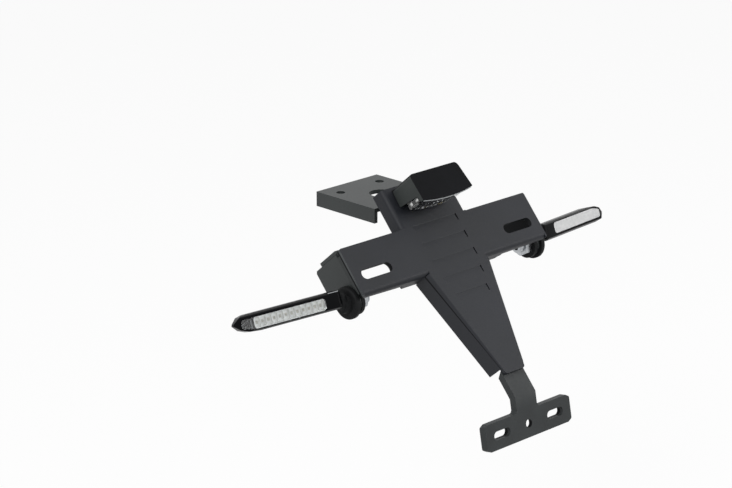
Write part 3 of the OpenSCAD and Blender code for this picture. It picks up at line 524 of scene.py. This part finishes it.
def oval_collar(length, width, wall, low, high):
    """A collar round a slot: a flat oval is inset, opened and drawn out to its depth."""
    corners = 48
    bpy.ops.object.select_all(action="DESELECT")
    bpy.ops.mesh.primitive_circle_add(
        vertices=corners, radius=(width / 2 + wall) * MM, fill_type="NGON",
        location=(0, 0, low * MM), rotation=(0, 0, pi / corners))
    obj = bpy.context.active_object
    bpy.ops.object.transform_apply(location=True, rotation=True, scale=True)
    for sign in (-1, 1):
        select_points(obj, HERE, lambda point: point.x * sign > 0)
        bpy.ops.transform.translate(value=(sign * (length - width) / 2 * MM, 0, 0))
        bpy.ops.object.mode_set(mode="OBJECT")
    bpy.ops.object.mode_set(mode="EDIT")
    bpy.ops.mesh.select_all(action="SELECT")
    bpy.ops.mesh.select_mode(type="FACE")
    bpy.ops.mesh.inset(thickness=wall * MM, use_even_offset=True)
    bpy.ops.mesh.delete(type="FACE")
    bpy.ops.mesh.select_all(action="SELECT")
    bpy.ops.mesh.extrude_region_move(
        TRANSFORM_OT_translate={"value": (0, 0, (high - low) * MM)})
    bpy.ops.object.mode_set(mode="OBJECT")
    return obj


def bar(size, soft):
    """A small bar with rounded edges."""
    bpy.ops.object.select_all(action="DESELECT")
    bpy.ops.mesh.primitive_cube_add(size=MM)
    obj = bpy.context.active_object
    obj.scale = size
    bpy.ops.object.transform_apply(location=True, rotation=True, scale=True)
    bevel = obj.modifiers.new("Edge radius", "BEVEL")
    bevel.width = soft * MM
    bevel.segments = 2
    bpy.ops.object.modifier_apply(modifier=bevel.name)
    return obj


def bars(name, home, material, slot, rows, soft=0.15):
    """One piece of small bars; each row is the size of some bars and where they lie."""
    pieces = []
    for size, spots in rows:
        pieces += copies(bar(size, soft), [home @ spot for spot in spots])
    finish_piece(joined(pieces), name, material, slot)


# Settings and operators

class TailTidySettings(bpy.types.PropertyGroup):
    edge_radius: bpy.props.FloatProperty(
        name="Edge radius", description="Radius of the sheets' edges",
        default=0.35 * MM, min=0.1 * MM, max=0.8 * MM, precision=5, unit="LENGTH",
    )
    moulded_radius: bpy.props.FloatProperty(
        name="Moulded radius", description="Radius of the tee's and the lamp's edges",
        default=0.7 * MM, min=0.2 * MM, max=1.2 * MM, precision=5, unit="LENGTH",
    )
    coat_dark: bpy.props.FloatVectorProperty(
        name="Coat, darker", description="Darker tone of the carrier's coat",
        subtype="COLOR", size=3, default=linear("#1A1C20")[:3], min=0, max=1,
    )
    coat_light: bpy.props.FloatVectorProperty(
        name="Coat, lighter", description="Lighter tone of the carrier's coat",
        subtype="COLOR", size=3, default=linear("#212329")[:3], min=0, max=1,
    )
    tee_dark: bpy.props.FloatVectorProperty(
        name="Tee, darker", description="Darker tone of the tee's plastic",
        subtype="COLOR", size=3, default=linear("#212425")[:3], min=0, max=1,
    )
    tee_light: bpy.props.FloatVectorProperty(
        name="Tee, lighter", description="Lighter tone of the tee's plastic",
        subtype="COLOR", size=3, default=linear("#2A2E2F")[:3], min=0, max=1,
    )
    lens_tint: bpy.props.FloatVectorProperty(
        name="Lens", description="Tint of the clear lenses",
        subtype="COLOR", size=3, default=linear("#F6F8FA")[:3], min=0, max=1,
    )
    floor_colour: bpy.props.FloatVectorProperty(
        name="Floor", description="Colour of the floor",
        subtype="COLOR", size=3, default=linear("#FAFAFA")[:3], min=0, max=1,
    )


def settings():
    return bpy.context.scene.tail_tidy


class FinishCarrier(bpy.types.Operator):
    """Rounds and coats the carrier plate"""
    bl_idname = "tail_tidy.finish_carrier"
    bl_label = "Carrier plate"

    def ease_steps(self, obj):
        """The press leaves the steps' upper walls soft, so their deepest line comes up."""
        for side, rise in STEP_RISE.items():
            select_points(obj, PLATE, lambda point: (
                abs(point.z + STEP_DEPTH) < 0.04 and 0 < point.x * side < 26
                and -52 < point.y < 20))
            bpy.ops.transform.translate(value=PLATE.to_3x3() @ Vector((0, 0, rise * MM)))
            bpy.ops.object.mode_set(mode="OBJECT")

    def tighten_folds(self, obj):
        """Draws each fold's arc in towards the corner at the column's lower end."""
        for fold in FOLDS:
            home = PLATE @ fold
            to_home = home.inverted()
            for vertex in obj.data.vertices:
                local = (to_home @ vertex.co) / MM
                off_arc = ((local.y - FOLD_R) ** 2 + (local.z + FOLD_R) ** 2) ** 0.5 - FOLD_R
                in_arc = -0.05 < local.y < FOLD_R + 0.02 and -FOLD_R - 0.02 < local.z < 0.05
                if in_arc and abs(off_arc) < 0.05 and abs(local.x - FOLD_LENGTH) < 0.3:
                    local.y *= FOLD_SHARE
                    local.z *= FOLD_SHARE
                    vertex.co = home @ (local * MM)

    def ease(self, obj):
        self.ease_steps(obj)
        self.tighten_folds(obj)

    def at_left_end(self, centre, normal):
        return centre.x < 2 - CROSSBAR_HALF and normal.x < -0.4

    def is_painted_highlight(self, centre, normal):
        """The front half of the sheet's cut left end, where a highlight is painted."""
        return self.at_left_end(centre, normal) and centre.z >= END_SPLIT_Z

    def is_painted_shade(self, centre, normal):
        """Where shade is painted: the rear half of the left end, the long slots' walls, and the
        folds' outer strips.
        """
        if self.at_left_end(centre, normal):
            return centre.z < END_SPLIT_Z
        if abs(abs(centre.x) - LONG_SLOT_X) < 15 and abs(centre.y + 4) < 4 and abs(normal.z) < 0.5:
            return True
        for fold in FOLDS:
            to_fold = fold.inverted()
            spot = (to_fold @ (centre * MM)) / MM
            facing = to_fold.to_3x3() @ normal
            near = 0 < spot.x < FOLD_LENGTH and -0.1 < spot.y < FOLD_R and -FOLD_R < spot.z < 0.1
            if near and facing.y < 0 and 0.12 < facing.z < 0.45:
                return True
        return False

    def is_painted_pale(self, centre, normal):
        """The steps' walls that face down or, at their left ends, to the right, which are painted
        paler.
        """
        on_step = abs(centre.x) < 27 and -55 < centre.y < 22 and centre.z > -1.2
        return on_step and (normal.y < -0.5 or normal.x > 0.5 and centre.x < 0)

    def execute(self, context):
        sheet = softened(
            "carrier_plate", "carrier_sheet", settings().edge_radius / MM, "carrier_steel",
            before=self.ease)
        # The left end is cut in two along its length, so that its front half can take a painted
        # highlight and its rear half painted shade
        select_points(sheet, PLATE, lambda point: point.x < 1.5 - CROSSBAR_HALF)
        bpy.ops.mesh.bisect(
            plane_co=PLATE @ Vector((0, 0, END_SPLIT_Z * MM)),
            plane_no=PLATE.to_3x3() @ Vector((0, 0, 1)), threshold=1e-6)
        bpy.ops.object.mode_set(mode="OBJECT")
        # A painted highlight on the front half of the left end
        paint(sheet, PLATE, "painted_edge_highlight", self.is_painted_highlight)
        # Painted shade on the left end's rear half, the long slots' walls and the folds' outer
        # strips
        paint(sheet, PLATE, "painted_shade", self.is_painted_shade)
        # Paler painted light on the steps' walls
        paint(sheet, PLATE, "painted_pale_walls", self.is_painted_pale)
        # Webs close the slits at the steps' left ends
        bars("step_slit_webs", PLATE, "carrier_steel", SLOT_OF["carrier_plate"], [
            ((0.94, 5.6, 2.0), [shift(0.45 - half, y, -1.06) for half, y in STEPS]),
        ], soft=0.08)
        return {"FINISHED"}


class FinishBrackets(bpy.types.Operator):
    """Rounds and coats the brackets behind the carrier"""
    bl_idname = "tail_tidy.finish_brackets"
    bl_label = "Brackets"

    def in_painted_shade(self, centre, normal):
        """Where shade is painted: the channel's inner faces, and its folds where they meet the
        side panels.
        """
        in_fold = normal.z > 0.5 and abs(normal.x) > 0.1 and abs(centre.x) > 80
        faces_in = normal.x * centre.x < 0 and abs(normal.x) > 0.8
        looks_away = faces_in or normal.y < -0.8 or normal.z < -0.8
        return in_fold or looks_away and centre.z < -4

    def execute(self, context):
        radius = settings().edge_radius / MM
        channel = softened("indicator_bracket", "channel_sheet", radius, "bracket_steel")
        # Painted shade inside the channel and along its folds
        paint(channel, PLATE, "painted_shade", self.in_painted_shade)
        softened("mounting_bracket", "tail_bracket_sheet", radius, "bracket_steel")
        return {"FINISHED"}


class FinishTee(bpy.types.Operator):
    """Rounds and colours the moulded tee"""
    bl_idname = "tail_tidy.finish_tee"
    bl_label = "Lower tee"

    def in_shaded_hole(self, centre, normal):
        """The wall of the round hole, where shade is painted in black."""
        out = (centre.x ** 2 + centre.y ** 2) ** 0.5
        return abs(normal.z) < 0.8 and out < TEE_HOLE_R and centre.z > -4

    def execute(self, context):
        tee = softened(
            "lower_bracket", "tee_moulding", settings().moulded_radius / MM, "moulded_black")
        # The hole's wall is painted black: painted shade
        paint(tee, TEE, "lamp_black", self.in_shaded_hole)
        # The slot collars are black: painted shade on the slots' walls
        collar = oval_collar(*TEE_SLOT, wall=1.6, low=-5.5, high=-2.6)
        pair = copies(collar, [TEE @ shift(sign * TEE_SLOT_X, 0, 0) for sign in (-1, 1)])
        finish_piece(joined(pair), "tee_slot_collars", "lamp_black", SLOT_OF["lower_bracket"])
        return {"FINISHED"}


class FinishFasteners(bpy.types.Operator):
    """Plates the studs, washers, nuts and screws"""
    bl_idname = "tail_tidy.finish_fasteners"
    bl_label = "Fasteners"

    def execute(self, context):
        dress(["carrier_washers", "carrier_nuts", "neck_washers", "neck_nuts"], "zinc")
        dress(["lamp_washers", "lamp_screws"], "zinc")
        # The lower pair of carrier studs, at y -6, is left plain
        threaded(
            "carrier_studs", "threaded_carrier_studs", PLATE,
            [(-17, 25.5), (17, 25.5)], STUD_THREAD, -15.3, -8.6)
        threaded(
            "neck_studs", "threaded_neck_studs", PLATE,
            [(0, -89.5), (0, -73.5)], STUD_THREAD, -12.8, -6.1)
        for side in SIDES:
            dress([f"{side}_stem_washer"], "black_rubber")
            dress([f"{side}_stem_nut"], "zinc")
            threaded(
                f"{side}_stem", f"{side}_threaded_stem", STEM[side] @ turn(90, "Y"),
                [(0, 0)], STEM_THREAD, 78, 88)
        return {"FINISHED"}


class FinishLamp(bpy.types.Operator):
    """Rounds and colours the plate lamp"""
    bl_idname = "tail_tidy.finish_lamp"
    bl_label = "Plate lamp"

    def hood_lip(self):
        """A pale bead along the hood's curved front edge, a painted highlight, spun about the
        edge's centre.
        """
        bpy.ops.object.select_all(action="DESELECT")
        bpy.ops.mesh.primitive_circle_add(
            vertices=12, radius=0.45 * MM, fill_type="NGON",
            location=(0, -(HOOD_R + 0.12) * MM, 0), rotation=(0, pi / 2, 0))
        obj = bpy.context.active_object
        bpy.ops.object.transform_apply(location=True, rotation=True, scale=True)
        bpy.ops.object.mode_set(mode="EDIT")
        bpy.ops.mesh.select_all(action="SELECT")
        bpy.ops.mesh.spin(
            steps=40, angle=radians(2 * HOOD_HALF_ANGLE), center=(0, 0, 0), axis=(0, 0, 1))
        bpy.ops.mesh.select_all(action="SELECT")
        bpy.ops.mesh.remove_doubles(threshold=0.001 * MM)
        bpy.ops.object.mode_set(mode="OBJECT")
        # The bead lies to one side of where it started, so it is turned back by half its angle
        across = [corner[0] for corner in obj.bound_box]
        back = -1 if min(across) + max(across) > 0 else 1
        x, y, z = HOOD_FRONT
        place(obj, PLATE @ shift(x, y + HOOD_R, z) @ turn(back * HOOD_HALF_ANGLE, "Z"))
        finish_piece(obj, "lamp_hood_lip", "painted_glint", SLOT_OF["lamp_lens"])

    def execute(self, context):
        shell = softened(
            "lamp_housing", "lamp_shell", settings().moulded_radius / MM, "lamp_black", 3)
        # The lamp's sides take a greyer copy of the black: a painted sheen
        paint(shell, PLATE, "painted_flank_sheen", lambda centre, normal: abs(normal.x) > 0.85)
        softened("lamp_lens", "lamp_window", 0.5, "clear_lens")
        self.hood_lip()
        # Flutes stand behind the lens along its curve
        bars("lamp_flutes", PLATE, "gloss_lip", SLOT_OF["lamp_lens"], [
            ((0.7, 2.4, 9), [shift(x, 28.1 + 0.00375 * x * x, 13.8) for x in range(-20, 21, 4)]),
        ])
        # Baffles darken the lens's ends, and facets in front of them catch the light
        ends = (-1, 1)
        bars("lamp_baffles", PLATE, "lamp_black", SLOT_OF["lamp_housing"], [
            ((0.8, 3.4, 10.4), [shift(end * 22.4, 30.9, 14.2) for end in ends]),
        ])
        bars("lamp_facets", PLATE, "silver_reflector", SLOT_OF["left_reflector"], [
            ((0.25, 2.6, 3), [shift(end * 22.95, 31.2, 10.8) for end in ends]),
            ((0.25, 2, 3.2), [shift(end * 22.9, 31, 17.6) for end in ends]),
            ((1.2, 0.3, 7), [shift(end * 22.5, 29.05, 13.6) for end in ends]),
        ])
        dress(["lamp_gasket"], "black_rubber")
        dress(["lamp_board"], "circuit_board")
        dress(["lamp_leds"], "led_package")
        return {"FINISHED"}


class FinishIndicators(bpy.types.Operator):
    """Rounds and colours both indicators"""
    bl_idname = "tail_tidy.finish_indicators"
    bl_label = "Indicators"

    def left_tip(self):
        """A pale crossbar and two slanted bars in the tip, and a pale rib at the root: painted
        highlights.
        """
        slants = [
            shift(74.9, -2.75, MIDDLE_Z + sign * 1.9) @ turn(sign * 24, "Y") for sign in (-1, 1)
        ]
        bars("left_tip_ribs", BODY["left"], "painted_glint", SLOT_OF["left_lens"], [
            ((0.5, 1.0, 7.2), [shift(70.9, -2.75, MIDDLE_Z)]),
            ((7.2, 1.0, 0.4), slants),
            # A pale bar at the root: a painted highlight
            ((8, 1.2, 0.5), [shift(5.5, -3.95, 5.9)]),
        ])

    def right_tip(self):
        """Broad pale bars that shorten towards the point: painted reflection in the right tip."""
        heights = (8.2, 7.8, 6.8, 5.2)
        bars("right_tip_ribs", BODY["right"], "painted_bright_reflector", SLOT_OF["right_reflector"], [
            ((1.8, 1.0, height), [shift(69.6 + (i + 0.6) * TIP_PITCH, -2.75, MIDDLE_Z)])
            for i, height in enumerate(heights)
        ])

    def execute(self, context):
        # The right side takes milkier and paler copies of the lens and reflector: painted light
        for side, lens, reflector, make_tip in (
            ("left", "clear_lens", "silver_reflector", self.left_tip),
            ("right", "painted_bright_lens", "painted_bright_reflector", self.right_tip),
        ):
            softened(f"{side}_housing", f"{side}_shell", 0.5, "gloss_black", 3)
            softened(f"{side}_lens", f"{side}_window", 0.3, lens)
            softened(f"{side}_disc", f"{side}_rubber_disc", 0.6, "black_rubber", 3)
            softened(f"{side}_hub", f"{side}_rubber_hub", 0.4, "black_rubber")
            dress([f"{side}_reflector"], reflector)
            dress([f"{side}_board"], "circuit_board")
            make_tip()
            # One light-emitting diode in each cell of the reflector
            cells = [shift(13.7 + (i + 0.5) * CELL_PITCH, -0.95, MIDDLE_Z) for i in range(12)]
            bars(f"{side}_light_dots", BODY[side], "pale_package", SLOT_OF["lamp_leds"], [
                ((2.0, 0.5, 2.4), cells),
            ])
        return {"FINISHED"}


class SetStage(bpy.types.Operator):
    """Sets the floor, the lights and the camera"""
    bl_idname = "tail_tidy.set_stage"
    bl_label = "Stage"

    def seen_white(self, tree):
        """1 for what the camera, a reflection or glass sees of the surroundings, else 0."""
        path = add(tree, "ShaderNodeLightPath")
        seen = path.outputs["Is Camera Ray"]
        for ray in ("Is Glossy Ray", "Is Transmission Ray"):
            seen = add(
                tree, "ShaderNodeMath", {"operation": "MAXIMUM"}, {},
                {0: seen, 1: path.outputs[ray]},
            ).outputs[0]
        return seen

    def lay_floor(self, context):
        """A pale floor that shows as white and keeps a faint shadow."""
        lowest = CAD_BOX[0][2]
        bpy.ops.object.select_all(action="DESELECT")
        bpy.ops.mesh.primitive_plane_add(size=30, location=(0, 0, lowest - FLOOR_DROP))
        floor = context.active_object
        floor.name = "pale_floor"
        material, tree = new_material("Pale floor")
        matt = add(
            tree, "ShaderNodeBsdfDiffuse", {}, {"Color": linear(settings().floor_colour)})
        glow = add(
            tree, "ShaderNodeEmission", {}, {"Color": linear("#FFFFFF"), "Strength": 1.0})
        share = add(
            tree, "ShaderNodeMath", {"operation": "MULTIPLY"}, {1: 0.9},
            {0: self.seen_white(tree)})
        mix = add(
            tree, "ShaderNodeMixShader", {}, {},
            {0: share.outputs[0], 1: matt.outputs[0], 2: glow.outputs[0]})
        add(tree, "ShaderNodeOutputMaterial", links={"Surface": mix.outputs[0]})
        floor.data.materials.append(material)

    def light_world(self, context):
        """Soft light from all round; the world itself shows as white."""
        world = bpy.data.worlds.new("Studio")
        world.use_nodes = True
        context.scene.world = world
        tree = world.node_tree
        tree.nodes.clear()
        soft, white = (
            add(tree, "ShaderNodeBackground", {}, {"Color": linear("#FFFFFF"), "Strength": level})
            for level in (0.45, 1.0)
        )
        mix = add(
            tree, "ShaderNodeMixShader", {}, {},
            {0: self.seen_white(tree), 1: soft.outputs[0], 2: white.outputs[0]})
        add(tree, "ShaderNodeOutputWorld", links={"Surface": mix.outputs[0]})

    def execute(self, context):
        self.lay_floor(context)
        self.light_world(context)
        for name, (spot, width, power) in LIGHTS.items():
            lamp = bpy.data.lights.new(name, "AREA")
            lamp.size = width
            lamp.energy = power
            holder = bpy.data.objects.new(name, lamp)
            context.scene.collection.objects.link(holder)
            holder.location = spot
            aim = LIT_POINT - Vector(spot)
            holder.rotation_euler = aim.to_track_quat("-Z", "Y").to_euler()

        camera = bpy.data.cameras.new("Photograph")
        camera.sensor_fit = "HORIZONTAL"
        camera.sensor_width = 36.0
        camera.lens = CAMERA_LENS
        camera.clip_end = 60.0
        holder = bpy.data.objects.new("Photograph", camera)
        context.scene.collection.objects.link(holder)
        holder.location = CAMERA_PLACE
        holder.rotation_euler = CAMERA_AIM.to_track_quat("-Z", "Y").to_euler()
        context.scene.camera = holder
        context.scene.view_settings.view_transform = "Standard"
        return {"FINISHED"}


OPERATORS = (
    FinishCarrier, FinishBrackets, FinishTee, FinishFasteners, FinishLamp, FinishIndicators,
    SetStage,
)


class TailTidyPanel(bpy.types.Panel):
    """Lists the pieces of the tail tidy"""
    bl_idname = "VIEW3D_PT_tail_tidy"
    bl_label = "Tail Tidy"
    bl_space_type = "VIEW_3D"
    bl_region_type = "UI"
    bl_category = "Tail Tidy"

    def draw(self, context):
        for name in TailTidySettings.__annotations__:
            self.layout.prop(context.scene.tail_tidy, name)
        for operator in OPERATORS:
            self.layout.operator(operator.bl_idname)


CLASSES = (TailTidySettings,) + OPERATORS + (TailTidyPanel,)


def register():
    for cls in CLASSES:
        bpy.utils.register_class(cls)
    bpy.types.Scene.tail_tidy = bpy.props.PointerProperty(type=TailTidySettings)


def unregister():
    del bpy.types.Scene.tail_tidy
    for cls in reversed(CLASSES):
        bpy.utils.unregister_class(cls)


def main():
    register()
    make_materials()
    for operator in OPERATORS:
        group, name = operator.bl_idname.split(".")
        getattr(getattr(bpy.ops, group), name)()


if __name__ == "__main__":
    main()
